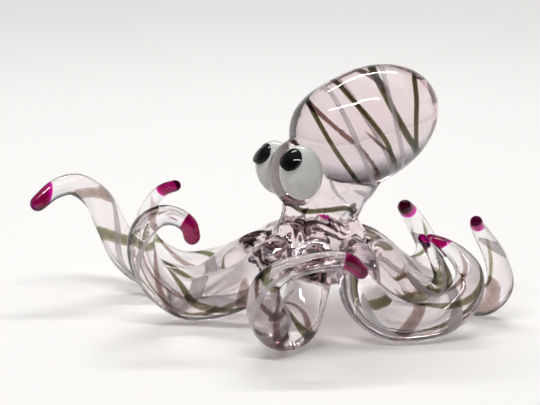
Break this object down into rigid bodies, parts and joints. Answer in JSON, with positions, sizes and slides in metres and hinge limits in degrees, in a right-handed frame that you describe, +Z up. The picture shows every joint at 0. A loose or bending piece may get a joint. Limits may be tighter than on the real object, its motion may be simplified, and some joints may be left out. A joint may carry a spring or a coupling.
{
  "type": "glass octopus figurine",
  "caption": "Flameworked clear glass octopus with a striped egg-shaped mantle, white eyes and curled arms ending in ruby tips.",
  "frame": {"origin": "on the table, under the middle of the figurine's box", "axes": "+X along its length, from the far left arm's tip to the far right arm; +Y its far side, away from the near eye; +Z up"},
  "size_m": [0.101, 0.0628, 0.0518],
  "materials": {
    "clear_glass": "clear, faint pink-lilac, fire polished",
    "white_glass": "opaque white, glossy",
    "black_glass": "opaque black, glossy",
    "ruby_glass": "deep ruby to magenta, glossy",
    "white_cane": "milky white-lilac cane sealed in the clear glass",
    "mauve_cane": "see-through brown-mauve cane sealed in the clear glass",
    "olive_cane": "dark olive-grey cane sealed in the clear glass"
  },
  "bodies": {
    "root": {"far_eye": "white_glass", "far_left_arm": "clear_glass", "far_left_mauve_cane": "mauve_cane", "far_left_olive_cane": "olive_cane", "far_left_tip": "ruby_glass", "far_left_white_cane": "white_cane", "far_pupil": "black_glass", "far_right_arm": "clear_glass", "far_right_mauve_cane": "mauve_cane", "far_right_olive_cane": "olive_cane", "far_right_tip": "ruby_glass", "far_right_white_cane": "white_cane", "front_arm": "clear_glass", "front_mauve_cane": "mauve_cane", "front_olive_cane": "olive_cane", "front_tip": "ruby_glass", "front_white_cane": "white_cane", "hub": "clear_glass", "left_back_arm": "clear_glass", "left_back_mauve_cane": "mauve_cane", "left_back_olive_cane": "olive_cane", "left_back_tip": "ruby_glass", "left_back_white_cane": "white_cane", "left_front_arm": "clear_glass", "left_front_mauve_cane": "mauve_cane", "left_front_olive_cane": "olive_cane", "left_front_tip": "ruby_glass", "left_front_white_cane": "white_cane", "mantle": "clear_glass", "mantle_mauve_cane": "mauve_cane", "mantle_olive_cane_1": "olive_cane", "mantle_olive_cane_2": "olive_cane", "mantle_olive_cane_3": "olive_cane", "mantle_white_cane_1": "white_cane", "mantle_white_cane_2": "white_cane", "near_eye": "white_glass", "near_pupil": "black_glass", "neck_olive_cane": "olive_cane", "neck_white_cane": "white_cane", "right_back_arm": "clear_glass", "right_back_mauve_cane": "mauve_cane", "right_back_olive_cane": "olive_cane", "right_back_tip": "ruby_glass", "right_back_white_cane": "white_cane", "right_front_arm": "clear_glass", "right_front_mauve_cane": "mauve_cane", "right_front_olive_cane": "olive_cane", "right_front_tip": "ruby_glass", "right_front_white_cane": "white_cane", "right_inner_arm": "clear_glass", "right_inner_mauve_cane": "mauve_cane", "right_inner_olive_cane": "olive_cane", "right_inner_tip": "ruby_glass", "right_inner_white_cane": "white_cane"}
  },
  "joints": []
}
